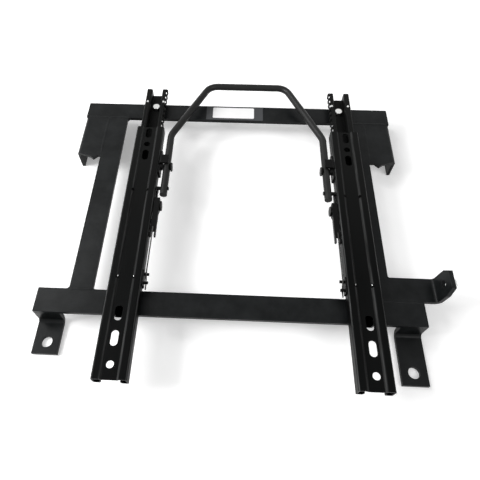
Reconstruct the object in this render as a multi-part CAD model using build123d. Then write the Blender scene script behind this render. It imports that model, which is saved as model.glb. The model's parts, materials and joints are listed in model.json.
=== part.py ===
from build123d import *
from math import cos, radians, sin, tan
import os

# Sliding seat base: a welded frame of flat bar carries two seat rails, and a towel bar handle works
# a lock on each rail. While it is built, X = 0 is midway between the rails, Y = 0 is the rear edge of
# the rear crossbar and Z = 0 is the top of the bars. X points to the right, Y to the front, Z up.

# Frame of flat bar
RAIL_SPACING = 338.6
BAR_WIDTH = 37.5
FRONT_BAR_WIDTH = 36.0
SIDE_BAR_WIDTH = 35.0
BAR_THICK = 6.0
FRAME_DEPTH = 423.0
DECK_HEIGHT = 38.0
LEFT_OVERHANG = 131.7
RIGHT_OVERHANG = 90.2
LEFT_FRONT_INSET = 3.0
LEFT_SIDE_OFFSET = 68.7
RIGHT_SIDE_OFFSET = 26.7
WELD_RADIUS = 5.0

# Front brackets, folded down to the floor along their outer edge
BRACKET_THICK = 5.0
BRACKET_LENGTH = 87.0
BRACKET_POINT = 13.0
LEFT_POINT_PLACE = 12.0
RIGHT_POINT_PLACE = 15.5
POINT_SLOPE = 7.0
BRACKET_BEND = 4.0
FLANGE_HOLE = 11.0
FLANGE_HOLE_FRONT = 36.0

# Rear feet, folded from the same bar
FOOT_WIDTH = 37.2
LEFT_FOOT_REACH = 51.5
RIGHT_FOOT_REACH = 73.5
FOOT_HOLE = 16.5
FOOT_HOLE_EDGE = 18.0
FOOT_BEND = 9.0

# Belt buckle bracket on the right, with a weld nut behind its threaded hole
BUCKLE_REACH = 68.0
BUCKLE_HEIGHT = 40.0
BUCKLE_LEAN = 6.5
BUCKLE_BEND = 8.0
BUCKLE_FRONT_CORNER = (5.5, 11.0)
BUCKLE_REAR_CORNER = (5.0, 18.0)
BUCKLE_THREAD = 11.1
BUCKLE_HOLE_HEIGHT = 22.0
BUCKLE_NUT_FLATS = 17.0
BUCKLE_NUT_DEPTH = 9.0

# Lower rail, an open channel whose lips turn outward and curl down
SHEET = 2.0
LOWER_OVERHANG = 22.0
LOWER_REAR_OVERHANG = 4.5
CHANNEL_WIDTH = 18.4
LOWER_WIDTH = 39.2
LOWER_HEIGHT = 18.5
LOWER_CURL = 9.5
ROLL_BEND = 2.0

# Upper rail, which wraps round the lips of the lower rail
UPPER_LENGTH = 439.5
UPPER_WIDTH = 47.5
UPPER_TOP = 24.0
UPPER_BOTTOM = 5.0
UPPER_LIP_GAP = 1.8
UPPER_LIP_HEIGHT = 7.0
WEB_DROP = 2.5
SLOPE_RUN = 1.2
SLOPE_GAP = 0.25
SLOPE_BEND = 2.0

# Holes in the upper rail, placed from its rear end like all that rides on it
HOLE_OFFSET = 1.7
HOLE_DIAMETER = 10.5
SLOT_LENGTH = 22.0
ROUND_HOLES = (20.0, 400.2)
SLOT_HOLES = (55.5, 91.0, 376.2, 426.0)
DIMPLES = (145.5, 301.2)
DIMPLE_DIAMETER = 5.0
DIMPLE_DEPTH = 1.0

# Rail bolts
BOLT_DIAMETER = 8.0
BOLT_CLEARANCE = 0.2
BOLT_FLATS = 12.0
BOLT_HEAD = 5.3
WASHER_FACE = 11.4
WASHER_FACE_THICK = 0.6
NUT_FLATS = 13.0
NUT_DEPTH = 6.5
FRONT_BOLT_EDGE = 12.0

# Ball rows on the lips
TRACK_DEPTH = 0.25
TRACK_INSET = 0.25
TRACK_CLEARANCE = 0.05
CAGE_WIDTH = 3.4
CAGE_THICK = 0.8
CAGE_REAR = 25.0
CAGE_LENGTH = 290.0
BALLS_PER_ROW = 2
STOP_DIAMETER = 4.2
STOP_HEIGHT = 1.2
STOP_SHANK = 3.0
STOP_TAIL = 0.8
STOP_EDGE = 33.5

# Lock teeth and the notches that they drop into
NOTCH_PITCH = 12.0
NOTCH_WIDTH = 6.0
NOTCH_DEPTH = 3.0
NOTCH_FIRST = 88.0
NOTCH_END_MARGIN = 8.0
START_NOTCH = 3
TOOTH_COUNT = 3
TOOTH_WIDTH = 4.6
TOOTH_REAR = 220.5
TOOTH_CLEARANCE = 0.3
TOOTH_TIP_GAP = 0.5
WINDOW_MARGIN = 1.2
WINDOW_DROP = 5.8
WINDOW_HEADROOM = 0.7

# Lock lever, an inverted channel beside the upper rail
LEVER_GAP = 1.0
LEVER_WIDTH = 8.5
LEVER_TAIL = 4.0
LEVER_FORK = 8.0
LEVER_NOSE = 11.5
LEVER_TONGUE = 5.0
LEVER_BOTTOM = 7.0
LEVER_TAIL_BOTTOM = 13.5
LEVER_ARM = 31.5
LEVER_PIVOT_HEIGHT = 13.0
PIVOT_DIAMETER = 6.0
PIVOT_HEAD = 16.0
PIVOT_HEAD_THICK = 2.5
RUNNING_CLEARANCE = 0.05
END_PLAY = 0.3

# Towel bar handle
HANDLE_DIAMETER = 12.0
HANDLE_OFFSET = 37.3
HANDLE_HEIGHT = 18.0
HANDLE_PIN = 308.5
HANDLE_ARM = 45.0
HANDLE_TAIL = 13.0
HANDLE_SHOULDER = 425.5
HANDLE_FRONT = 552.0
HANDLE_TOP_HALF = 70.5
HANDLE_SHOULDER_BEND = 30.0
HANDLE_TOP_BEND = 24.0
HANDLE_PIVOT_HEAD = 15.0
PIN_STAND_OUT = 1.5

# Bracket that carries the handle on the upper rail, placed from the handle pivot
CARRIER_THICK = 3.0
CARRIER_BACK = 15.0
CARRIER_AHEAD = 35.0
CARRIER_BELOW = 11.0
CARRIER_ABOVE = 5.0
STRAP_AHEAD = 2.0
STRAP_WIDTH = 17.0
STRAP_REACH = 39.5
SPACER_DIAMETER = 12.0

# Return spring wire and its anchor
WIRE_DIAMETER = 2.0
WIRE_LAP = 8.0
ANCHOR_THICK = 2.0
ANCHOR_MARGIN = 5.0
ANCHOR_BELOW = 9.0
ANCHOR_ABOVE = 6.0
REAR_KNOB = 139.6
FRONT_KNOB = 153.0
KNOB_HEIGHT = 17.0
KNOB_DIAMETER = 4.5
KNOB_LENGTH = 6.5
KNOB_CLEARANCE = 0.7

# Places on the frame that follow from the sizes above
left_rail = -RAIL_SPACING / 2
right_rail = RAIL_SPACING / 2
frame_left = left_rail - LEFT_OVERHANG
frame_right = right_rail + RIGHT_OVERHANG
front_bar_rear = FRAME_DEPTH - FRONT_BAR_WIDTH
front_bar_left = frame_left + LEFT_FRONT_INSET
bracket_rear = FRAME_DEPTH - FRONT_BAR_WIDTH - BRACKET_LENGTH
left_side = left_rail - LEFT_SIDE_OFFSET
right_side = right_rail + RIGHT_SIDE_OFFSET
rear_bolt = BAR_WIDTH / 2
front_bolt = FRAME_DEPTH - FRONT_BOLT_EDGE
lower_front = FRAME_DEPTH + LOWER_OVERHANG
last_notch = lower_front - NOTCH_END_MARGIN

# Places in the rail section
lower_half = LOWER_WIDTH / 2
upper_wall = UPPER_WIDTH / 2
ball_height = (LOWER_HEIGHT + UPPER_TOP - SHEET) / 2
ball_radius = UPPER_TOP - SHEET - ball_height + TRACK_DEPTH - TRACK_CLEARANCE
ball_line = lower_half - NOTCH_DEPTH - TRACK_INSET - ball_radius
shoulder_start = ball_line - ball_radius - SLOPE_GAP
web_half = shoulder_start - SLOPE_RUN
hole_line = left_rail - HOLE_OFFSET
stop_y = lower_front - STOP_EDGE
upper_lip = CHANNEL_WIDTH / 2 + SHEET + UPPER_LIP_GAP
lever_outer = upper_wall + LEVER_GAP
lever_inner = lever_outer + LEVER_WIDTH
tooth_bottom = LOWER_HEIGHT + TOOTH_CLEARANCE
lever_top = tooth_bottom + SHEET
carrier_face = upper_wall + CARRIER_THICK

# Places along the upper rail, which starts where its teeth meet the notches
upper_rear = NOTCH_FIRST + START_NOTCH * NOTCH_PITCH - TOOTH_REAR
upper_front = upper_rear + UPPER_LENGTH
tooth_rear = upper_rear + TOOTH_REAR
handle_pin_y = upper_rear + HANDLE_PIN
handle_pivot_y = handle_pin_y + HANDLE_ARM
lever_pivot_y = handle_pin_y - LEVER_ARM


def block(x_range, y_range, z_range):
    """A box between two values on each axis."""
    size = [high - low for low, high in (x_range, y_range, z_range)]
    middle = [(high + low) / 2 for low, high in (x_range, y_range, z_range)]
    return Pos(*middle) * Box(*size)


def rod_z(x, y, z_range, diameter):
    """A round rod that stands along Z."""
    low, high = z_range
    return Pos(x, y, (low + high) / 2) * Cylinder(diameter / 2, high - low)


def rod_x(x_range, y, z, diameter):
    """A round rod that lies along X."""
    low, high = x_range
    return Pos((low + high) / 2, y, z) * Rot(0, 90, 0) * Cylinder(diameter / 2, high - low)


def rod_y(x, y_range, z, diameter):
    """A round rod that lies along Y."""
    low, high = y_range
    return Pos(x, (low + high) / 2, z) * Rot(90, 0, 0) * Cylinder(diameter / 2, high - low)


def hex_z(x, y, z_range, flats):
    """A hexagon prism that stands along Z."""
    low, high = z_range
    outline = Pos(x, y, low) * RegularPolygon(flats / 2, 6, major_radius=False)
    return extrude(outline, high - low)


def folded_along_y(points, bends, thickness, y_range):
    """A strip folded in the XZ plane along a middle line and run along Y."""
    rear, front = y_range
    section = trace(FilletPolyline(*points, radius=bends), thickness)
    plane = Plane(origin=(0, front, 0), x_dir=(1, 0, 0), z_dir=(0, -1, 0))
    return extrude(plane * section, front - rear)


def folded_along_x(points, bends, thickness, x_range):
    """A strip folded in the YZ plane along a middle line and run along X."""
    low, high = x_range
    section = trace(FilletPolyline(*points, radius=bends), thickness)
    plane = Plane(origin=(low, 0, 0), x_dir=(0, 1, 0), z_dir=(1, 0, 0))
    return extrude(plane * section, high - low)


def outline_z(points, z_range):
    """A prism that stands along Z on a closed outline of XY points."""
    low, high = z_range
    return extrude(Pos(0, 0, low) * make_face(Polyline(*points, close=True)), high - low)


def outline_x(points, x_range):
    """A prism that lies along X on a closed outline of YZ points."""
    low, high = x_range
    face = make_face(Polyline(*points, close=True))
    plane = Plane(origin=(low, 0, 0), x_dir=(0, 1, 0), z_dir=(1, 0, 0))
    return extrude(plane * face, high - low)


def mirrored(shape):
    """The same piece on the right rail."""
    return mirror(shape, about=Plane.YZ)


def crossbar(left_end, y_range, bolt_y):
    """A flat bar across the frame with a bolt hole under each rail."""
    bar = block((left_end, frame_right), y_range, (-BAR_THICK, 0))
    for rail in (left_rail, right_rail):
        bar -= rod_z(rail, bolt_y, (-BAR_THICK, 0), BOLT_DIAMETER + 2 * BOLT_CLEARANCE)
    return bar


def side_bar(middle, corners):
    """A flat bar between the crossbars, with a hollow weld fillet at each open corner."""
    low, high = middle - SIDE_BAR_WIDTH / 2, middle + SIDE_BAR_WIDTH / 2
    bar = block((low, high), (BAR_WIDTH, front_bar_rear), (-BAR_THICK, 0))
    for out, inward in corners:
        edge = high if out > 0 else low
        end = BAR_WIDTH if inward > 0 else front_bar_rear
        x_mid = edge + out * WELD_RADIUS / 2
        y_mid = end + inward * WELD_RADIUS / 2
        weld = Pos(x_mid, y_mid, -BAR_THICK / 2) * Box(WELD_RADIUS, WELD_RADIUS, BAR_THICK)
        hollow = (edge + out * WELD_RADIUS, end + inward * WELD_RADIUS)
        bar += weld - rod_z(*hollow, (-BAR_THICK, 0), 2 * WELD_RADIUS)
    return bar


def front_bracket(outer_face, seam, point_place):
    """An angle beside a side bar: a plate level with the bars, and a flange down to the floor."""
    out = 1 if outer_face > seam else -1
    middle = outer_face - out * BRACKET_THICK / 2
    level = -BRACKET_THICK / 2
    line = [(seam, level), (middle, level), (middle, -DECK_HEIGHT)]
    point_rear = bracket_rear - BRACKET_POINT
    angle = folded_along_y(line, BRACKET_BEND, BRACKET_THICK, (point_rear, FRAME_DEPTH))
    point_x = seam + out * point_place
    rear_plan = [
        (outer_face, bracket_rear),
        (point_x + out * POINT_SLOPE, point_rear + POINT_SLOPE * 0.75),
        (point_x, point_rear),
        (point_x - out * POINT_SLOPE, point_rear + POINT_SLOPE),
        (seam, point_rear + POINT_SLOPE),
        (seam, front_bar_rear),
        (outer_face, front_bar_rear),
    ]
    plate_room = outline_z(rear_plan, (-2 * BRACKET_THICK, 0))
    flange_x = sorted((outer_face, outer_face - out * BRACKET_THICK))
    flange_room = block(flange_x, (bracket_rear, front_bar_rear), (-DECK_HEIGHT, 0))
    flange_room += block(flange_x, (front_bar_rear, FRAME_DEPTH), (-DECK_HEIGHT, -BAR_THICK))
    hole_y = FRAME_DEPTH - FLANGE_HOLE_FRONT
    return (angle & (plate_room + flange_room)) - rod_x(flange_x, hole_y, -DECK_HEIGHT / 2, FLANGE_HOLE)


def rear_foot(x_range, reach):
    """A folded foot: down from under the rear crossbar, then level along the floor to the rear."""
    half = BAR_THICK / 2
    line = [(half, -BAR_THICK), (half, half - DECK_HEIGHT), (-reach, half - DECK_HEIGHT)]
    foot = folded_along_x(line, FOOT_BEND, BAR_THICK, x_range)
    floor_part = (-DECK_HEIGHT, BAR_THICK - DECK_HEIGHT)
    return foot - rod_z(sum(x_range) / 2, FOOT_HOLE_EDGE - reach, floor_part, FOOT_HOLE)


def buckle_plane():
    """The middle plane of the upright tab, at its threaded hole, facing outward."""
    lean = radians(BUCKLE_LEAN)
    foot_x = right_side + SIDE_BAR_WIDTH / 2 + BUCKLE_REACH
    rise = BUCKLE_HOLE_HEIGHT + BAR_THICK / 2
    hole = (foot_x + rise * tan(lean), 1.5 * BAR_WIDTH, BUCKLE_HOLE_HEIGHT)
    return Plane(origin=hole, x_dir=(0, 1, 0), z_dir=(cos(lean), 0, -sin(lean)))


def buckle_bracket():
    """A strip in the corner of the frame whose end is folded up and cut to a taper."""
    level = -BAR_THICK / 2
    seam = right_side + SIDE_BAR_WIDTH / 2
    foot_x = seam + BUCKLE_REACH
    rise = BUCKLE_HEIGHT - level
    line = [
        (seam, level),
        (foot_x, level),
        (foot_x + rise * tan(radians(BUCKLE_LEAN)), BUCKLE_HEIGHT),
    ]
    rear, front = BAR_WIDTH, 2 * BAR_WIDTH
    strip = folded_along_y(line, BUCKLE_BEND, BAR_THICK, (rear, front))
    front_in, front_down = BUCKLE_FRONT_CORNER
    rear_in, rear_down = BUCKLE_REAR_CORNER
    taper = [
        (rear, -BAR_THICK),
        (front, -BAR_THICK),
        (front, BUCKLE_HEIGHT - front_down),
        (front - front_in, BUCKLE_HEIGHT),
        (rear + rear_in, BUCKLE_HEIGHT),
        (rear, BUCKLE_HEIGHT - rear_down),
    ]
    strip &= outline_x(taper, (right_side, foot_x + BAR_WIDTH))
    return strip - buckle_plane() * Cylinder(BUCKLE_THREAD / 2, 2 * BAR_THICK)


def buckle_nut():
    """A weld nut on the outer face of the buckle tab."""
    face = buckle_plane().offset(BAR_THICK / 2)
    body = extrude(face * RegularPolygon(BUCKLE_NUT_FLATS / 2, 6, major_radius=False), BUCKLE_NUT_DEPTH)
    return body - face * Cylinder(BUCKLE_THREAD / 2, 2 * BUCKLE_NUT_DEPTH + 1)


def ball_tracks(y_range):
    """Two round grooves that the ball rows run in."""
    bore = 2 * (ball_radius + TRACK_CLEARANCE)
    tracks = [rod_y(left_rail + side * ball_line, y_range, ball_height, bore) for side in (-1, 1)]
    return tracks[0] + tracks[1]


def lock_notches():
    """The row of notches that the teeth drop into, cut down through the inner lip."""
    x_range = (left_rail + lower_half - NOTCH_DEPTH, left_rail + lower_half + SHEET)
    z_range = (LOWER_HEIGHT - LOWER_CURL - SHEET, LOWER_HEIGHT + SHEET)
    count = int((last_notch - NOTCH_FIRST) / NOTCH_PITCH) + 1
    notches = []
    for index in range(count):
        y_mid = NOTCH_FIRST + index * NOTCH_PITCH
        notches.append(block(x_range, (y_mid - NOTCH_WIDTH / 2, y_mid + NOTCH_WIDTH / 2), z_range))
    return notches


def lower_rail():
    """The fixed rail: a rolled channel with curled lips, ball tracks and a row of lock notches."""
    wall = (CHANNEL_WIDTH + SHEET) / 2
    lip = lower_half - SHEET / 2
    lip_level = LOWER_HEIGHT - SHEET / 2
    half = [(lip, LOWER_HEIGHT - LOWER_CURL), (lip, lip_level), (wall, lip_level), (wall, SHEET / 2)]
    line = [(left_rail - x, z) for x, z in half] + [(left_rail + x, z) for x, z in reversed(half)]
    rail = folded_along_y(line, ROLL_BEND, SHEET, (-LOWER_REAR_OVERHANG, lower_front))
    rail -= ball_tracks((-LOWER_REAR_OVERHANG, lower_front))
    rail -= lock_notches()
    for y in (rear_bolt, front_bolt):
        rail -= rod_z(left_rail, y, (0, SHEET), BOLT_DIAMETER + 2 * BOLT_CLEARANCE)
    for side in (-1, 1):
        x = left_rail + side * ball_line
        rail -= rod_z(x, stop_y, (LOWER_HEIGHT - SHEET, LOWER_HEIGHT), STOP_SHANK)
    return rail


def stop_rivet(side):
    """A rivet in a lip of the lower rail, which stops the ball row at the front."""
    x = left_rail + side * ball_line
    rivet = rod_z(x, stop_y, (LOWER_HEIGHT - SHEET - STOP_TAIL, LOWER_HEIGHT), STOP_SHANK)
    head = Cone(STOP_DIAMETER / 2, STOP_DIAMETER / 3, STOP_HEIGHT)
    return rivet + Pos(x, stop_y, LOWER_HEIGHT + STOP_HEIGHT / 2) * head


def upper_section():
    """The middle line of the upper rail's rolled section, from one turned-up lip to the other."""
    lip = upper_lip + SHEET / 2
    wall = upper_wall - SHEET / 2
    floor = UPPER_BOTTOM + SHEET / 2
    shoulder = UPPER_TOP - SHEET / 2
    half = [
        (lip, UPPER_BOTTOM + UPPER_LIP_HEIGHT),
        (lip, floor),
        (wall, floor),
        (wall, shoulder),
        (shoulder_start, shoulder),
        (web_half, shoulder - WEB_DROP),
    ]
    return [(left_rail - x, z) for x, z in half] + [(left_rail + x, z) for x, z in reversed(half)]


def web_slot(y_mid, z_range):
    """A slot through the web of the upper rail."""
    half_width = HOLE_DIAMETER / 2
    half_length = SLOT_LENGTH / 2 - half_width
    x_range = (hole_line - half_width, hole_line + half_width)
    slot = block(x_range, (y_mid - half_length, y_mid + half_length), z_range)
    for end in (-1, 1):
        slot += rod_z(hole_line, y_mid + end * half_length, z_range, HOLE_DIAMETER)
    return slot


def tooth_window(index):
    """A window through the inner wall of the upper rail for one tooth."""
    half = TOOTH_WIDTH / 2 + WINDOW_MARGIN
    y_mid = tooth_rear + index * NOTCH_PITCH
    wall = left_rail + upper_wall
    z_range = (tooth_bottom - WINDOW_DROP, lever_top + WINDOW_HEADROOM)
    return block((wall - 1.2 * SHEET, wall + SHEET), (y_mid - half, y_mid + half), z_range)


def upper_rail():
    """The sliding rail: a rolled section with seat holes, ball tracks and windows for the teeth."""
    bends = [ROLL_BEND, ROLL_BEND, ROLL_BEND, SLOPE_BEND, SLOPE_BEND]
    rail = folded_along_y(upper_section(), bends + bends[::-1], SHEET, (upper_rear, upper_front))
    rail -= ball_tracks((upper_rear, upper_front))
    web = (UPPER_TOP - WEB_DROP - 2 * SHEET, UPPER_TOP)
    for y in ROUND_HOLES:
        rail -= rod_z(hole_line, upper_rear + y, web, HOLE_DIAMETER)
    for y in SLOT_HOLES:
        rail -= web_slot(upper_rear + y, web)
    slope = (web_half + shoulder_start) / 2
    dimple = Cone(DIMPLE_DIAMETER / 4, DIMPLE_DIAMETER / 2, 2 * DIMPLE_DEPTH)
    for y in DIMPLES:
        for side in (-1, 1):
            rail -= Pos(left_rail + side * slope, upper_rear + y, UPPER_TOP - WEB_DROP / 2) * dimple
    rail -= [tooth_window(index) for index in range(TOOTH_COUNT)]
    return rail


def rail_bolt(rail, y):
    """A hexagon bolt with a washer face, down through the rail and the crossbar."""
    head, top = SHEET + WASHER_FACE_THICK, SHEET + BOLT_HEAD
    bolt = rod_z(rail, y, (-BAR_THICK - NUT_DEPTH - SHEET, SHEET), BOLT_DIAMETER)
    bolt += rod_z(rail, y, (SHEET, head), WASHER_FACE)
    crown = Pos(rail, y, (head + top) / 2) * Cone(BOLT_FLATS, BOLT_FLATS / 2, top - head)
    return bolt + (hex_z(rail, y, (head, top), BOLT_FLATS) & crown)


def rail_nut(rail, y):
    """The nut under the crossbar."""
    z_range = (-BAR_THICK - NUT_DEPTH, -BAR_THICK)
    return hex_z(rail, y, z_range, NUT_FLATS) - rod_z(rail, y, z_range, BOLT_DIAMETER)


def ball_cage(side):
    """A strip that keeps one row of balls apart, with its balls."""
    x = left_rail + side * ball_line
    half_width, half_thick = CAGE_WIDTH / 2, CAGE_THICK / 2
    strip = block(
        (x - half_width, x + half_width),
        (CAGE_REAR, CAGE_REAR + CAGE_LENGTH),
        (ball_height - half_thick, ball_height + half_thick),
    )
    spacing = CAGE_LENGTH / BALLS_PER_ROW
    for index in range(BALLS_PER_ROW):
        strip += Pos(x, CAGE_REAR + spacing * (index + 0.5), ball_height) * Sphere(ball_radius)
    return strip


def lock_lever():
    """An inverted channel that rocks on its pivot, with three teeth that reach into the rail."""
    outer, inner = left_rail + lever_outer, left_rail + lever_inner
    rear = tooth_rear - LEVER_TAIL
    nose = lever_pivot_y + LEVER_NOSE
    tip = handle_pin_y + LEVER_TONGUE
    tongue_top = HANDLE_HEIGHT - PIVOT_DIAMETER / 2 - END_PLAY
    lever = block((outer, inner), (rear + LEVER_FORK, nose), (tooth_bottom, lever_top))
    tail_view = [
        (nose, lever_top),
        (rear, lever_top),
        (rear, LEVER_TAIL_BOTTOM + SHEET),
        (rear + SHEET, LEVER_TAIL_BOTTOM),
        (lever_pivot_y - PIVOT_HEAD, LEVER_TAIL_BOTTOM),
        (lever_pivot_y - PIVOT_HEAD / 2, LEVER_BOTTOM),
    ]
    tongue_view = [
        (tip - SHEET, LEVER_BOTTOM),
        (tip, LEVER_BOTTOM + SHEET),
        (tip, tongue_top),
        (nose + SHEET, tongue_top),
    ]
    lever += outline_x(tail_view + tongue_view, (outer, outer + SHEET))
    lever += outline_x(tail_view + [(nose, LEVER_BOTTOM)], (inner - SHEET, inner))
    tooth_tip = left_rail + lower_half - NOTCH_DEPTH + TOOTH_TIP_GAP
    for index in range(TOOTH_COUNT):
        y_mid = tooth_rear + index * NOTCH_PITCH
        y_range = (y_mid - TOOTH_WIDTH / 2, y_mid + TOOTH_WIDTH / 2)
        lever += block((tooth_tip, outer + SHEET), y_range, (tooth_bottom, lever_top))
    bore = PIVOT_DIAMETER + 2 * RUNNING_CLEARANCE
    return lever - rod_x((outer - SHEET, inner + SHEET), lever_pivot_y, LEVER_PIVOT_HEIGHT, bore)


def lever_pivot():
    """The shoulder pin of the lock lever, riveted to the rail wall, with a wide flat head."""
    head = left_rail + lever_inner + END_PLAY
    pin = rod_x((left_rail + upper_wall, head), lever_pivot_y, LEVER_PIVOT_HEIGHT, PIVOT_DIAMETER)
    return pin + rod_x((head, head + PIVOT_HEAD_THICK), lever_pivot_y, LEVER_PIVOT_HEIGHT, PIVOT_HEAD)


def towel_bar():
    """The handle: one round bar bent to a U with sloping shoulders, cross drilled in both legs."""
    leg = left_rail + HANDLE_OFFSET
    rear = handle_pin_y - HANDLE_TAIL
    shoulder = upper_rear + HANDLE_SHOULDER
    front = upper_rear + HANDLE_FRONT
    points = [
        (leg, rear, HANDLE_HEIGHT),
        (leg, shoulder, HANDLE_HEIGHT),
        (-HANDLE_TOP_HALF, front, HANDLE_HEIGHT),
        (HANDLE_TOP_HALF, front, HANDLE_HEIGHT),
        (-leg, shoulder, HANDLE_HEIGHT),
        (-leg, rear, HANDLE_HEIGHT),
    ]
    bends = [HANDLE_SHOULDER_BEND, HANDLE_TOP_BEND, HANDLE_TOP_BEND, HANDLE_SHOULDER_BEND]
    path = FilletPolyline(*points, radius=bends)
    start = Plane(origin=points[0], x_dir=(1, 0, 0), z_dir=(0, 1, 0))
    bar = sweep(start * Circle(HANDLE_DIAMETER / 2), path=path)
    pivot_bore = PIVOT_DIAMETER + 2 * RUNNING_CLEARANCE
    for x in (leg, -leg):
        x_range = (x - HANDLE_DIAMETER, x + HANDLE_DIAMETER)
        bar -= rod_x(x_range, handle_pivot_y, HANDLE_HEIGHT, pivot_bore)
        bar -= rod_x(x_range, handle_pin_y, HANDLE_HEIGHT, PIVOT_DIAMETER)
    return bar


def cross_pin():
    """The pin through the end of a handle leg, which presses on the lock lever."""
    outer_end = left_rail + HANDLE_OFFSET + HANDLE_DIAMETER / 2 + PIN_STAND_OUT
    return rod_x((left_rail + lever_outer, outer_end), handle_pin_y, HANDLE_HEIGHT, PIVOT_DIAMETER)


def handle_carrier():
    """A plate on the rail wall with a folded strap over the handle leg, which stops its lift."""
    wall, face = left_rail + upper_wall, left_rail + carrier_face
    bottom, top = HANDLE_HEIGHT - CARRIER_BELOW, HANDLE_HEIGHT + CARRIER_ABOVE
    round_end = (top - bottom) / 2
    ear_y = handle_pivot_y + CARRIER_AHEAD - round_end
    ear_z = (top + bottom) / 2
    plate = block((wall, face), (handle_pivot_y - CARRIER_BACK, ear_y), (bottom, top))
    plate += rod_x((wall, face), ear_y, ear_z, 2 * round_end)
    middle = wall + CARRIER_THICK / 2
    strap_level = HANDLE_HEIGHT + HANDLE_DIAMETER / 2 + END_PLAY + CARRIER_THICK / 2
    line = [(middle, ear_z), (middle, strap_level), (left_rail + STRAP_REACH, strap_level)]
    strap_rear = handle_pivot_y + STRAP_AHEAD
    strap = folded_along_y(line, CARRIER_THICK, CARRIER_THICK, (strap_rear, strap_rear + STRAP_WIDTH))
    return plate + strap - rod_x((wall, face), handle_pivot_y, HANDLE_HEIGHT, PIVOT_DIAMETER)


def pivot_spacer():
    """A sleeve between the carrier plate and the handle leg."""
    leg_face = left_rail + HANDLE_OFFSET - HANDLE_DIAMETER / 2
    x_range = (left_rail + carrier_face, leg_face - END_PLAY)
    sleeve = rod_x(x_range, handle_pivot_y, HANDLE_HEIGHT, SPACER_DIAMETER)
    return sleeve - rod_x(x_range, handle_pivot_y, HANDLE_HEIGHT, PIVOT_DIAMETER)


def handle_pivot():
    """The shoulder bolt that the handle leg turns on, with a wide flat head."""
    head = left_rail + HANDLE_OFFSET + HANDLE_DIAMETER / 2 + END_PLAY
    bolt = rod_x((left_rail + upper_wall, head), handle_pivot_y, HANDLE_HEIGHT, PIVOT_DIAMETER)
    return bolt + rod_x((head, head + PIVOT_HEAD_THICK), handle_pivot_y, HANDLE_HEIGHT, HANDLE_PIVOT_HEAD)


def spring_anchor():
    """A small plate on the rail wall with two knobs that hold the spring wire."""
    wall = left_rail + upper_wall
    face = wall + ANCHOR_THICK
    plate = block(
        (wall, face),
        (upper_rear + REAR_KNOB - ANCHOR_MARGIN, upper_rear + FRONT_KNOB + ANCHOR_MARGIN),
        (KNOB_HEIGHT - ANCHOR_BELOW, KNOB_HEIGHT + ANCHOR_ABOVE),
    )
    for y in (REAR_KNOB, FRONT_KNOB):
        plate += rod_x((face, face + KNOB_LENGTH), upper_rear + y, KNOB_HEIGHT, KNOB_DIAMETER)
    return plate


def spring_wire():
    """The return spring: a wire over the front knob and under the rear one, pressing on the lever."""
    rear_knob, front_knob = upper_rear + REAR_KNOB, upper_rear + FRONT_KNOB
    x = left_rail + upper_wall + ANCHOR_THICK + 1.5 * WIRE_DIAMETER
    reach = KNOB_DIAMETER / 2 + WIRE_DIAMETER / 2 + KNOB_CLEARANCE
    rest = lever_top + WIRE_DIAMETER / 2 + TRACK_CLEARANCE
    points = [
        (x, tooth_rear - LEVER_TAIL + LEVER_FORK + WIRE_LAP, rest),
        (x, front_knob, rest),
        (x, rear_knob, KNOB_HEIGHT - reach),
        (x, rear_knob - 2 * KNOB_DIAMETER, KNOB_HEIGHT - reach),
    ]
    path = FilletPolyline(*points, radius=WIRE_DIAMETER)
    start = Plane(origin=points[0], x_dir=(1, 0, 0), z_dir=(0, -1, 0))
    return sweep(start * Circle(WIRE_DIAMETER / 2), path=path)


def base_nodes():
    """The welded frame, the lower rails and what fastens them."""
    left_seam = left_side - SIDE_BAR_WIDTH / 2
    right_seam = right_side + SIDE_BAR_WIDTH / 2
    nodes = {
        "rear_crossbar": crossbar(frame_left, (0, BAR_WIDTH), rear_bolt),
        "front_crossbar": crossbar(front_bar_left, (front_bar_rear, FRAME_DEPTH), front_bolt),
        "left_side_bar": side_bar(left_side, [(1, 1), (1, -1), (-1, 1)]),
        "right_side_bar": side_bar(right_side, [(-1, 1), (-1, -1)]),
        "left_front_bracket": front_bracket(front_bar_left, left_seam, LEFT_POINT_PLACE),
        "right_front_bracket": front_bracket(frame_right, right_seam, RIGHT_POINT_PLACE),
        "left_rear_foot": rear_foot((frame_left, frame_left + FOOT_WIDTH), LEFT_FOOT_REACH),
        "right_rear_foot": rear_foot((frame_right - FOOT_WIDTH, frame_right), RIGHT_FOOT_REACH),
        "buckle_bracket": buckle_bracket(),
        "buckle_weld_nut": buckle_nut(),
    }
    rail = lower_rail()
    nodes["left_lower_rail"] = rail
    nodes["right_lower_rail"] = mirrored(rail)
    for place, side in (("outer", -1), ("inner", 1)):
        rivet = stop_rivet(side)
        nodes[f"left_{place}_stop_rivet"] = rivet
        nodes[f"right_{place}_stop_rivet"] = mirrored(rivet)
    for side, x in (("left", left_rail), ("right", right_rail)):
        for end, y in (("front", front_bolt), ("rear", rear_bolt)):
            nodes[f"{side}_{end}_rail_bolt"] = rail_bolt(x, y)
            nodes[f"{side}_{end}_rail_nut"] = rail_nut(x, y)
    return nodes


def slider_nodes():
    """What rides on each rail, built on the left and mirrored to the right."""
    pieces = {
        "upper_rail": upper_rail(),
        "outer_ball_cage": ball_cage(-1),
        "inner_ball_cage": ball_cage(1),
        "lock_lever": lock_lever(),
        "lever_pivot": lever_pivot(),
        "handle_carrier": handle_carrier(),
        "pivot_spacer": pivot_spacer(),
        "handle_pivot": handle_pivot(),
        "spring_anchor": spring_anchor(),
        "spring_wire": spring_wire(),
        "cross_pin": cross_pin(),
    }
    nodes = {}
    for name, shape in pieces.items():
        nodes[f"left_{name}"] = shape
        nodes[f"right_{name}"] = mirrored(shape)
    return nodes


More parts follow.
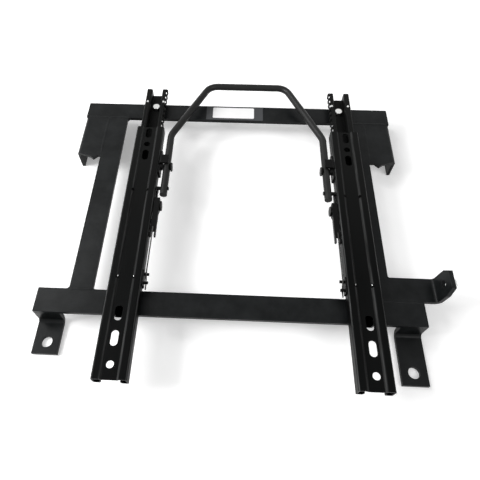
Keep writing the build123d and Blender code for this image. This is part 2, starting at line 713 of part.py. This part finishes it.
def all_nodes():
    """Every piece, moved so that the origin is at the middle of the bottom of the part's box."""
    nodes = base_nodes() | slider_nodes() | {"towel_bar": towel_bar()}
    box = Compound(children=[Compound(list(shape.solids())) for shape in nodes.values()]).bounding_box()
    shift = Pos(-(box.min.X + box.max.X) / 2, -(box.min.Y + box.max.Y) / 2, -box.min.Z)
    print("shift to the origin", shift.position)
    return {name: shift * shape for name, shape in nodes.items()}


if __name__ == "__main__":
    os.makedirs("parts", exist_ok=True)
    for name, shape in all_nodes().items():
        export_step(shape, f"parts/{name}.step")
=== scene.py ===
import json
import math

import bmesh
import bpy
from mathutils import Matrix, Vector


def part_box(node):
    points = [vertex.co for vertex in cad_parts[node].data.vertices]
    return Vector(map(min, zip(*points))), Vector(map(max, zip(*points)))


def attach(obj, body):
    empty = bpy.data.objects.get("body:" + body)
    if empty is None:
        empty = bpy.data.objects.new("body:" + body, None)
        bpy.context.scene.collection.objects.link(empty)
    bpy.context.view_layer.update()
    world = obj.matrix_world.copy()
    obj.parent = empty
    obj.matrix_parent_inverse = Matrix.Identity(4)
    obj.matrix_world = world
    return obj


# The drawing has its origin midway between the rails, at the rear edge and the top of the rear crossbar.
# X points to the right, Y to the front and Z up, and its places and sizes are in millimetres.
MM = 0.001

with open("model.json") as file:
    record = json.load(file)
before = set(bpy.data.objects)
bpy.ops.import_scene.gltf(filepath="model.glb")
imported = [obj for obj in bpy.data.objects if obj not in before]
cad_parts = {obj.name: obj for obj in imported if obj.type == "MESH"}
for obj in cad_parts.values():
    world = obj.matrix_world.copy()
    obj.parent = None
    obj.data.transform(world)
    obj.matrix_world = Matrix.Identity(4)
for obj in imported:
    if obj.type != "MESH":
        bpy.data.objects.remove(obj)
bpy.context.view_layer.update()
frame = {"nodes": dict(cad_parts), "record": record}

rear_bar_low, rear_bar_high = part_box("rear_crossbar")
rail_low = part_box("left_lower_rail")[0]
rail_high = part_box("right_lower_rail")[1]
ORIGIN = Vector(((rail_low.x + rail_high.x) / 2, rear_bar_low.y, rear_bar_high.z))

# Upper rails: their middle lines, top, sides and rolled bends, along which a highlight is painted, and the
# dimples stamped in the bends, whose painted shade has its edge given as squares of its distances from the
# middle
slider_low, slider_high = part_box("right_upper_rail")
RAIL_MIDDLE = ((slider_low.x + slider_high.x) / 2 - ORIGIN.x) / MM
RAIL_TOP = (slider_high.z - ORIGIN.z) / MM
RAIL_HALF_WIDTH = (slider_high.x - slider_low.x) / 2 / MM
SLOPE_MIDDLE = 11.6
CORNER_MIDDLE = RAIL_HALF_WIDTH - 0.9
BENDS_START = (RAIL_TOP - 4.0, RAIL_TOP - 3.2)
CORNER_START = (RAIL_TOP - 2.2, RAIL_TOP - 1.0)
SLOPE_FADE = (0.6, 2.4)
CORNER_FADE = (0.4, 1.2)
DIMPLES = (49.0, 204.7)
DIMPLE_EDGE = (6.0, 10.0)

# Bare tips in the rear dimples: how far in front of the middle they lie, how deep, and their radii
TIP_OFFSET = 2.0
TIP_DEPTH = 1.7
TIP_RADII = (0.8, 1.9, 0.9)

# Label on its tape: across, along, thickness and corner
TAPE = ((-75, 30), (388.2, 421.8), 0.08, 1.0)
LABEL = ((-63, 13.5), (392.7, 419.4), 0.12, 2.0)

# Weld seams: the side bars' edges, the lines of the seams along the crossbars and the ends of the others
LEFT_BAR = (-255.5, -220.5)
RIGHT_BAR = (178.5, 213.5)
REAR_SEAM = 37.5
FRONT_SEAM = 387
BRACKET_SEAM = (300, 384)
LEFT_BRACKET_END = -294
RIGHT_BRACKET_END = 255
BUCKLE_SEAM = (40, 76)
BUCKLE_END = 260
SEAM_WIDTH = 5.0
SEAM_HEIGHT = 0.35
SEAM_SUNK = 0.05
ROW_STEP = 0.8
RIPPLE_PITCH = 2.6
RIPPLE_WIDTH = 0.06
RIPPLE_HEIGHT = 0.15
WANDER_RATE = 0.37
WANDER_WIDTH = 0.06
BLUNT_END = 0.35

# Noise of the coatings, as scale, detail and roughness, and the range of each noise that tells
BLOTCHES, BLOTCH_RANGE = (26.0, 6.0, 0.62), (0.36, 0.64)
BREAKS, BREAK_RANGE = (160.0, 5.0, 0.7), (0.45, 0.6)
GLOSS, GLOSS_RANGE = (45.0, 5.0, 0.5), (0.3, 0.7)
STREAKS, STREAK_RANGE = (320.0, 4.0, 0.6), (0.35, 0.62)
STREAK_STRETCH = (1.0, 0.06, 1.0)
GRAIN_DETAIL = 2.0
GRAIN_STRENGTH = 0.35

# How the bevel turns the normal, as a cosine, where an edge starts to lighten and where it is fully
# lighter; the lighter edges are partly wear and partly a painted highlight
EDGE_TURN = (0.99, 0.8)

# Rails: a painted highlight along the bends, a painted reflection that makes them lighter toward the front,
# and painted shade in the dimples
BEND_HIGHLIGHT = (0.065, 0.066, 0.066)
FRONT_REFLECTION = (0.005, 0.0052, 0.005)
FRONT_REFLECTION_REACH = (60.0, 330.0)
DIMPLE_SHADE = (0.0004, 0.0004, 0.0004)

# Each finish: its colour, its patches, its lighter edges (partly wear, partly a painted highlight) and its
# range of roughness
FINISHES = {
    "frame_paint": dict(
        colour=(0.0024, 0.003, 0.0032), patch=(0.0086, 0.0095, 0.0099), wear_and_highlight=(0.03, 0.032, 0.034),
        roughness=(0.28, 0.42), specular=0.12, grain=700.0, grain_depth=0.12, bevel_mm=0.7,
    ),
    "rail_steel": dict(
        colour=(0.0008, 0.001, 0.001), patch=(0.0018, 0.002, 0.002), wear_and_highlight=(0.02, 0.02, 0.02),
        roughness=(0.32, 0.44), specular=0.05, grain=500.0, grain_depth=0.04, bevel_mm=0.4,
        stretch=(1.0, 0.25, 1.0),
    ),
    "handle_paint": dict(
        colour=(0.006, 0.0062, 0.006), patch=(0.009, 0.0092, 0.009), wear_and_highlight=(0.05, 0.05, 0.048),
        roughness=(0.34, 0.48), specular=0.2, grain=800.0, grain_depth=0.08, bevel_mm=0.5,
    ),
    "lock_paint": dict(
        colour=(0.0008, 0.0009, 0.0009), patch=(0.0028, 0.0028, 0.0028), wear_and_highlight=(0.045, 0.045, 0.045),
        roughness=(0.36, 0.5), specular=0.08, grain=800.0, grain_depth=0.06, bevel_mm=0.35,
    ),
    "zinc": dict(
        colour=(0.82, 0.82, 0.8), patch=(0.66, 0.67, 0.67), wear_and_highlight=(0.9, 0.9, 0.89),
        roughness=(0.22, 0.36), specular=0.5, metallic=1.0, grain=1200.0, grain_depth=0.03, bevel_mm=0.3,
    ),
    "ball_steel": dict(
        colour=(0.3, 0.3, 0.3), patch=(0.2, 0.2, 0.19), wear_and_highlight=(0.5, 0.5, 0.5),
        roughness=(0.2, 0.3), specular=0.5, metallic=1.0, grain=1500.0, grain_depth=0.01, bevel_mm=0.2,
    ),
    "spring_steel": dict(
        colour=(0.06, 0.06, 0.058), patch=(0.035, 0.035, 0.035), wear_and_highlight=(0.2, 0.2, 0.2),
        roughness=(0.3, 0.42), specular=0.5, metallic=1.0, grain=1500.0, grain_depth=0.02, bevel_mm=0.2,
    ),
    "tape": dict(
        colour=(0.03, 0.032, 0.035), patch=(0.038, 0.04, 0.043), wear_and_highlight=(0.06, 0.06, 0.06),
        roughness=(0.3, 0.42), specular=0.4, grain=500.0, grain_depth=0.03, bevel_mm=0.1,
    ),
    "label": dict(
        colour=(0.84, 0.84, 0.84), patch=(0.8, 0.8, 0.8), wear_and_highlight=(0.75, 0.75, 0.75),
        roughness=(0.35, 0.45), specular=0.4, grain=600.0, grain_depth=0.02, bevel_mm=0.1,
    ),
}

# Floor: half its side in metres, its grey, its glow under the part, and how far off the glow rises to white
FLOOR_HALF = 6.0
FLOOR_GREY = 0.9
FLOOR_LIFT = 0.3
FLOOR_RISE = (0.7, 2.4)

# World: its strength on the left and on the right, and where it goes from one to the other
WORLD_SIDES = (0.8, 0.12)
WORLD_FADE = (-0.8, 0.3)

# Square lamps: each one's place and side in metres and its power in watts
LAMPS = {
    "key": ((-2.1, -0.2, 1.4), 1.0, 58),
    "fill": ((1.4, -0.9, 1.8), 1.2, 18),
    "sheen": ((-2.0, 1.3, 2.6), 1.2, 33),
}

# Camera, solved from the corners of the bars in the photograph
CAMERA_PLACE = (-18.24, -231.76, 605.06)
CAMERA_PITCH = math.radians(59.198)
CAMERA_YAW = math.radians(-3.569)
CAMERA_ROLL = math.radians(-1.027)
CAMERA_LENS = 33.94
CAMERA_SHIFT = (0.0459, 0.0009)


def at(x, y, z):
    """A point in metres from a place in the drawing."""
    return ORIGIN + Vector((x, y, z)) * MM


def noise(tree, coords, scale, detail, roughness=0.5):
    """A noise texture on the given coordinates."""
    node = tree.nodes.new("ShaderNodeTexNoise")
    node.inputs["Scale"].default_value = scale
    node.inputs["Detail"].default_value = detail
    node.inputs["Roughness"].default_value = roughness
    tree.links.new(coords, node.inputs["Vector"])
    return node.outputs["Fac"]


def ranged(tree, value, low, high, out_low, out_high):
    """A value carried from one range to another."""
    node = tree.nodes.new("ShaderNodeMapRange")
    node.inputs["From Min"].default_value = low
    node.inputs["From Max"].default_value = high
    node.inputs["To Min"].default_value = out_low
    node.inputs["To Max"].default_value = out_high
    tree.links.new(value, node.inputs["Value"])
    return node.outputs["Result"]


def mixed(tree, factor, first, second):
    """A colour between two colours, each a value or a socket."""
    node = tree.nodes.new("ShaderNodeMix")
    node.data_type = "RGBA"
    tree.links.new(factor, node.inputs["Factor"])
    for socket, colour in ((node.inputs[6], first), (node.inputs[7], second)):
        if isinstance(colour, tuple):
            socket.default_value = (*colour, 1.0)
        else:
            tree.links.new(colour, socket)
    return node.outputs[2]


def maths(tree, operation, *values):
    """The result of a maths node on values that are each a number or a socket."""
    node = tree.nodes.new("ShaderNodeMath")
    node.operation = operation
    for socket, value in zip(node.inputs, values):
        if isinstance(value, (int, float)):
            socket.default_value = value
        else:
            tree.links.new(value, socket)
    return node.outputs["Value"]


def distance(tree, value, place):
    """How far a value is from a place, on either side."""
    return maths(tree, "ABSOLUTE", maths(tree, "SUBTRACT", value, place))


def rail_places(tree, coords):
    """A point's distance from its rail's middle line, its depth and its height, in the drawing."""
    axes = tree.nodes.new("ShaderNodeSeparateXYZ")
    tree.links.new(coords, axes.inputs["Vector"])
    x, y, z = (maths(tree, "DIVIDE", maths(tree, "SUBTRACT", axes.outputs[name], start), MM)
               for name, start in zip("XYZ", ORIGIN))
    return distance(tree, maths(tree, "ABSOLUTE", x), RAIL_MIDDLE), y, z


def ridge_mask(tree, coords):
    """How near a point is to the rolled bends along the top of an upper rail, where a highlight is painted.
    """
    from_middle, _, z = rail_places(tree, coords)
    slope = ranged(tree, distance(tree, from_middle, SLOPE_MIDDLE), *SLOPE_FADE, 0.5, 0.0)
    corner = ranged(tree, distance(tree, from_middle, CORNER_MIDDLE), *CORNER_FADE, 1.0, 0.0)
    near_top = ranged(tree, z, *CORNER_START, 0.0, 1.0)
    bends = maths(tree, "MAXIMUM", slope, maths(tree, "MULTIPLY", near_top, corner))
    return maths(tree, "MULTIPLY", bends, ranged(tree, z, *BENDS_START, 0.0, 1.0))


def dimple_mask(tree, coords):
    """How near a point is to one of the stamped dimples of an upper rail, where shade is painted."""
    from_middle, y, z = rail_places(tree, coords)
    across = maths(tree, "SUBTRACT", from_middle, SLOPE_MIDDLE)
    along = maths(tree, "MINIMUM", *(distance(tree, y, place) for place in DIMPLES))
    squares = maths(tree, "ADD", *(maths(tree, "MULTIPLY", side, side) for side in (across, along)))
    inside = ranged(tree, squares, *DIMPLE_EDGE, 1.0, 0.0)
    return maths(tree, "MULTIPLY", inside, ranged(tree, z, *BENDS_START, 0.0, 1.0))


def rail_surface(material):
    """Adds to the paint of the rolled rails a painted highlight along their bends, a painted reflection
    that makes them lighter toward the front, and painted shade in their dimples.
    """
    tree = material.node_tree
    shader = tree.nodes["Principled BSDF"]
    coords = tree.nodes.new("ShaderNodeTexCoord").outputs["Object"]
    paint = shader.inputs["Base Color"].links[0].from_socket
    streaks = tree.nodes.new("ShaderNodeMapping")
    streaks.inputs["Scale"].default_value = STREAK_STRETCH
    tree.links.new(coords, streaks.inputs["Vector"])
    uneven = ranged(tree, noise(tree, streaks.outputs["Vector"], *STREAKS), *STREAK_RANGE, 0.25, 1.0)
    # Painted highlight along the rolled bends, broken up by streaks
    ridges = maths(tree, "MULTIPLY", ridge_mask(tree, coords), uneven)
    _, depth, _ = rail_places(tree, coords)
    # Painted reflection: the rails are painted lighter toward the front
    front_reflected = mixed(tree, ranged(tree, depth, *FRONT_REFLECTION_REACH, 0.0, 1.0), paint, FRONT_REFLECTION)
    wear_and_highlight = mixed(tree, ridges, front_reflected, BEND_HIGHLIGHT)
    # Painted shade in the stamped dimples
    dimple_shaded = mixed(tree, dimple_mask(tree, coords), wear_and_highlight, DIMPLE_SHADE)
    tree.links.new(dimple_shaded, shader.inputs["Base Color"])


def edge_mask(tree, bevel_normal):
    """How near a point is to a sharp edge, from the bend that the bevel gives the normal."""
    geometry = tree.nodes.new("ShaderNodeNewGeometry")
    dot = tree.nodes.new("ShaderNodeVectorMath")
    dot.operation = "DOT_PRODUCT"
    tree.links.new(bevel_normal, dot.inputs[0])
    tree.links.new(geometry.outputs["Normal"], dot.inputs[1])
    return ranged(tree, dot.outputs["Value"], *EDGE_TURN, 0.0, 1.0)


def coated(name, colour, patch, wear_and_highlight, roughness, specular, grain, grain_depth, bevel_mm,
           metallic=0.0, stretch=(1.0, 1.0, 1.0)):
    """A coated or bare metal surface with blotches, fine grain, soft edges and lighter edges that are
    partly wear and partly a painted highlight.
    """
    material = bpy.data.materials.new(name)
    material.use_nodes = True
    tree = material.node_tree
    shader = tree.nodes["Principled BSDF"]
    shader.inputs["Metallic"].default_value = metallic
    shader.inputs["Specular IOR Level"].default_value = specular
    mapping = tree.nodes.new("ShaderNodeMapping")
    mapping.inputs["Scale"].default_value = stretch
    coords = tree.nodes.new("ShaderNodeTexCoord").outputs["Object"]
    tree.links.new(coords, mapping.inputs["Vector"])
    place = mapping.outputs["Vector"]
    bevel = tree.nodes.new("ShaderNodeBevel")
    bevel.samples = 4
    bevel.inputs["Radius"].default_value = bevel_mm * MM
    blotches = ranged(tree, noise(tree, place, *BLOTCHES), *BLOTCH_RANGE, 0.0, 1.0)
    base = mixed(tree, blotches, colour, patch)
    breaks = ranged(tree, noise(tree, place, *BREAKS), *BREAK_RANGE, 0.0, 1.0)
    # Lighter edges, partly wear and partly a painted highlight
    rubbed_and_highlit_edges = maths(tree, "MULTIPLY", edge_mask(tree, bevel.outputs["Normal"]), breaks)
    tree.links.new(mixed(tree, rubbed_and_highlit_edges, base, wear_and_highlight), shader.inputs["Base Color"])
    gloss = ranged(tree, noise(tree, place, *GLOSS), *GLOSS_RANGE, *roughness)
    tree.links.new(gloss, shader.inputs["Roughness"])
    bump = tree.nodes.new("ShaderNodeBump")
    bump.inputs["Strength"].default_value = GRAIN_STRENGTH
    bump.inputs["Distance"].default_value = grain_depth * MM
    tree.links.new(noise(tree, place, grain, GRAIN_DETAIL), bump.inputs["Height"])
    tree.links.new(bevel.outputs["Normal"], bump.inputs["Normal"])
    tree.links.new(bump.outputs["Normal"], shader.inputs["Normal"])
    return material


def build_materials():
    """One material per slot of the record, and one each for the label and its tape."""
    made = {name: coated(name, **finish) for name, finish in FINISHES.items()}
    rail_surface(made["rail_steel"])
    return made


def dress_nodes(materials):
    """Every carried-over piece gets the material of its slot."""
    for part in frame["record"]["subparts"]:
        mesh = frame["nodes"][part["node"]].data
        mesh.materials.clear()
        mesh.materials.append(materials[part["material_slot"]])


def new_piece(name, mesh_maker, material, body, smooth=True):
    """A piece from a bmesh, with its material, riding on a body."""
    form = bmesh.new()
    mesh_maker(form)
    mesh = bpy.data.meshes.new(name)
    form.to_mesh(mesh)
    form.free()
    for face in mesh.polygons:
        face.use_smooth = smooth
    mesh.materials.append(material)
    piece = bpy.data.objects.new(name, mesh)
    bpy.context.scene.collection.objects.link(piece)
    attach(piece, body)
    return piece


def rounded_sheet(name, x_range, y_range, z, thickness, corner, material, body):
    """A thin sticker with rounded corners, laid on a level face."""
    steps = 6

    def make(form):
        ring = []
        corners = (
            (x_range[1] - corner, y_range[1] - corner, 0),
            (x_range[0] + corner, y_range[1] - corner, 1),
            (x_range[0] + corner, y_range[0] + corner, 2),
            (x_range[1] - corner, y_range[0] + corner, 3),
        )
        for x, y, quarter in corners:
            for step in range(steps + 1):
                angle = (quarter + step / steps) * math.pi / 2
                ring.append((x + corner * math.cos(angle), y + corner * math.sin(angle)))
        low = [form.verts.new(at(x, y, z)) for x, y in ring]
        high = [form.verts.new(at(x, y, z + thickness)) for x, y in ring]
        form.faces.new(high)
        form.faces.new(list(reversed(low)))
        for index, vert in enumerate(low):
            following = (index + 1) % len(low)
            form.faces.new((vert, low[following], high[following], high[index]))

    piece = new_piece(name, make, material, body, smooth=False)


def weld_bead(name, start, end, material):
    """A low rippled weld seam between two points on level metal."""
    start, end = Vector(start), Vector(end)
    along = (end - start).normalized()
    across = Vector((-along.y, along.x, 0))
    length = (end - start).length
    rows = max(8, int(length / ROW_STEP))
    arc = 8

    def make(form):
        previous = None
        for row in range(rows + 1):
            share = row / rows
            wave = math.sin(share * length * 2 * math.pi / RIPPLE_PITCH)
            wander = math.sin(share * length * WANDER_RATE + length) * SEAM_WIDTH * WANDER_WIDTH
            taper = min(1.0, 6 * min(share, 1 - share) + BLUNT_END)
            ring = []
            for step in range(arc + 1):
                angle = math.pi * step / arc
                half_width = SEAM_WIDTH / 2 * (1 - RIPPLE_WIDTH + RIPPLE_WIDTH * wave) * taper
                height = SEAM_HEIGHT * (1 - RIPPLE_HEIGHT + RIPPLE_HEIGHT * wave) * taper
                side = math.cos(angle) * half_width + wander
                rise = math.sin(angle) * height - SEAM_SUNK
                point = start + along * (share * length) + across * side
                ring.append(form.verts.new(at(point.x, point.y, point.z + rise)))
            if previous:
                for step in range(arc):
                    form.faces.new((previous[step], previous[step + 1], ring[step + 1], ring[step]))
            previous = ring
        bmesh.ops.recalc_face_normals(form, faces=form.faces)

    piece = new_piece(name, make, material, "base")


def add_label(materials):
    """The bare white label on its strip of tape, on the front crossbar."""
    z = 0.0
    for name, sheet, finish in (("label_tape", TAPE, "tape"), ("label", LABEL, "label")):
        x_range, y_range, thickness, corner = sheet
        rounded_sheet(name, x_range, y_range, z, thickness, corner, materials[finish], "base")
        z += thickness


def add_welds(materials):
    """Seams where the bars, brackets and the buckle strip meet."""
    left_out, left_in = LEFT_BAR
    right_in, right_out = RIGHT_BAR
    seams = {
        "weld_left_rear": ((left_out, REAR_SEAM, 0), (left_in, REAR_SEAM, 0)),
        "weld_left_front": ((left_out, FRONT_SEAM, 0), (left_in, FRONT_SEAM, 0)),
        "weld_right_rear": ((right_in, REAR_SEAM, 0), (right_out, REAR_SEAM, 0)),
        "weld_right_front": ((right_in, FRONT_SEAM, 0), (right_out, FRONT_SEAM, 0)),
        "weld_left_bracket": ((left_out, BRACKET_SEAM[0], 0), (left_out, BRACKET_SEAM[1], 0)),
        "weld_right_bracket": ((right_out, BRACKET_SEAM[0], 0), (right_out, BRACKET_SEAM[1], 0)),
        "weld_left_bracket_front": ((LEFT_BRACKET_END, FRONT_SEAM, 0), (left_out, FRONT_SEAM, 0)),
        "weld_right_bracket_front": ((right_out, FRONT_SEAM, 0), (RIGHT_BRACKET_END, FRONT_SEAM, 0)),
        "weld_buckle_side": ((right_out, BUCKLE_SEAM[0], 0), (right_out, BUCKLE_SEAM[1], 0)),
        "weld_buckle_rear": ((right_out, REAR_SEAM, 0), (BUCKLE_END, REAR_SEAM, 0)),
    }
    for name, (start, end) in seams.items():
        weld_bead(name, start, end, materials["frame_paint"])


def add_dimple_tips(materials):
    """The bright bare tips in the two rear dimples of each upper rail."""
    radii = Matrix.Diagonal([radius * MM for radius in TIP_RADII] + [1.0])
    for side, rail in ((-1, "left"), (1, "right")):
        def make(form):
            for across in (-SLOPE_MIDDLE, SLOPE_MIDDLE):
                place = at(side * RAIL_MIDDLE + across, DIMPLES[0] + TIP_OFFSET, RAIL_TOP - TIP_DEPTH)
                turn = Matrix.Translation(place) @ radii
                bmesh.ops.create_uvsphere(form, u_segments=12, v_segments=8, radius=1.0, matrix=turn)

        tips = new_piece(f"{rail}_dimple_tips", make, materials["zinc"], f"{rail}_slider")


def seen_rays(tree):
    """One for the rays that show the studio: the camera's, and those that metal and gloss send on."""
    rays = tree.nodes.new("ShaderNodeLightPath").outputs
    shiny = maths(tree, "MAXIMUM", rays["Is Camera Ray"], rays["Is Glossy Ray"])
    return maths(tree, "MAXIMUM", shiny, rays["Is Transmission Ray"])


def add_floor():
    """A pale floor that keeps the shadow of the part, and turns white away from it."""
    mesh = bpy.data.meshes.new("floor")
    corners = [(x * FLOOR_HALF, y * FLOOR_HALF, 0) for x, y in ((-1, -1), (1, -1), (1, 1), (-1, 1))]
    mesh.from_pydata(corners, [], [(0, 1, 2, 3)])
    floor = bpy.data.objects.new("floor", mesh)
    bpy.context.scene.collection.objects.link(floor)
    material = bpy.data.materials.new("floor")
    material.use_nodes = True
    tree = material.node_tree
    shader = tree.nodes["Principled BSDF"]
    shader.inputs["Roughness"].default_value = 0.9
    shader.inputs["Specular IOR Level"].default_value = 0.1
    shader.inputs["Base Color"].default_value = (FLOOR_GREY, FLOOR_GREY, FLOOR_GREY, 1)
    reach = tree.nodes.new("ShaderNodeVectorMath")
    reach.operation = "LENGTH"
    tree.links.new(tree.nodes.new("ShaderNodeTexCoord").outputs["Object"], reach.inputs[0])
    rise = ranged(tree, reach.outputs["Value"], *FLOOR_RISE, FLOOR_LIFT, 1.0)
    glow = tree.nodes.new("ShaderNodeEmission")
    tree.links.new(maths(tree, "MULTIPLY", seen_rays(tree), rise), glow.inputs["Strength"])
    both = tree.nodes.new("ShaderNodeAddShader")
    tree.links.new(shader.outputs["BSDF"], both.inputs[0])
    tree.links.new(glow.outputs["Emission"], both.inputs[1])
    tree.links.new(both.outputs["Shader"], tree.nodes["Material Output"].inputs["Surface"])
    mesh.materials.append(material)


def add_world():
    """A studio that is white to look at, and lights the part more from the left than from the right."""
    world = bpy.data.worlds.new("studio")
    bpy.context.scene.world = world
    world.use_nodes = True
    tree = world.node_tree
    background = tree.nodes["Background"]
    background.inputs["Color"].default_value = (1, 1, 1, 1)
    direction = tree.nodes.new("ShaderNodeSeparateXYZ")
    tree.links.new(tree.nodes.new("ShaderNodeTexCoord").outputs["Generated"], direction.inputs["Vector"])
    mix = tree.nodes.new("ShaderNodeMix")
    mix.data_type = "FLOAT"
    tree.links.new(seen_rays(tree), mix.inputs["Factor"])
    tree.links.new(ranged(tree, direction.outputs["X"], *WORLD_FADE, *WORLD_SIDES), mix.inputs[2])
    mix.inputs[3].default_value = 1.0
    tree.links.new(mix.outputs[0], background.inputs["Strength"])


def add_lamps():
    """Square studio lamps that look at the part."""
    for name, (place, side, power) in LAMPS.items():
        data = bpy.data.lights.new(name, "AREA")
        data.shape = "SQUARE"
        data.size = side
        data.energy = power
        lamp = bpy.data.objects.new(name, data)
        lamp.location = place
        lamp.rotation_euler = (-Vector(place)).to_track_quat("-Z", "Y").to_euler()
        bpy.context.scene.collection.objects.link(lamp)


def add_camera():
    """The photograph's camera."""
    pitch, yaw, roll = CAMERA_PITCH, CAMERA_YAW, CAMERA_ROLL
    ahead = Vector((math.sin(yaw) * math.cos(pitch), math.cos(yaw) * math.cos(pitch), -math.sin(pitch)))
    level = Vector((math.cos(yaw), -math.sin(yaw), 0))
    above = level.cross(ahead)
    right = math.cos(roll) * level + math.sin(roll) * above
    up = -math.sin(roll) * level + math.cos(roll) * above
    data = bpy.data.cameras.new("camera")
    data.sensor_width = 36
    data.lens = CAMERA_LENS
    data.shift_x, data.shift_y = CAMERA_SHIFT
    camera = bpy.data.objects.new("camera", data)
    turn = Matrix((right, up, -ahead)).transposed().to_4x4()
    camera.matrix_world = Matrix.Translation(at(*CAMERA_PLACE)) @ turn
    bpy.context.scene.collection.objects.link(camera)
    bpy.context.scene.camera = camera


materials = build_materials()
dress_nodes(materials)
add_label(materials)
add_welds(materials)
add_dimple_tips(materials)
add_floor()
add_world()
add_lamps()
add_camera()
bpy.context.scene.view_settings.view_transform = "Standard"
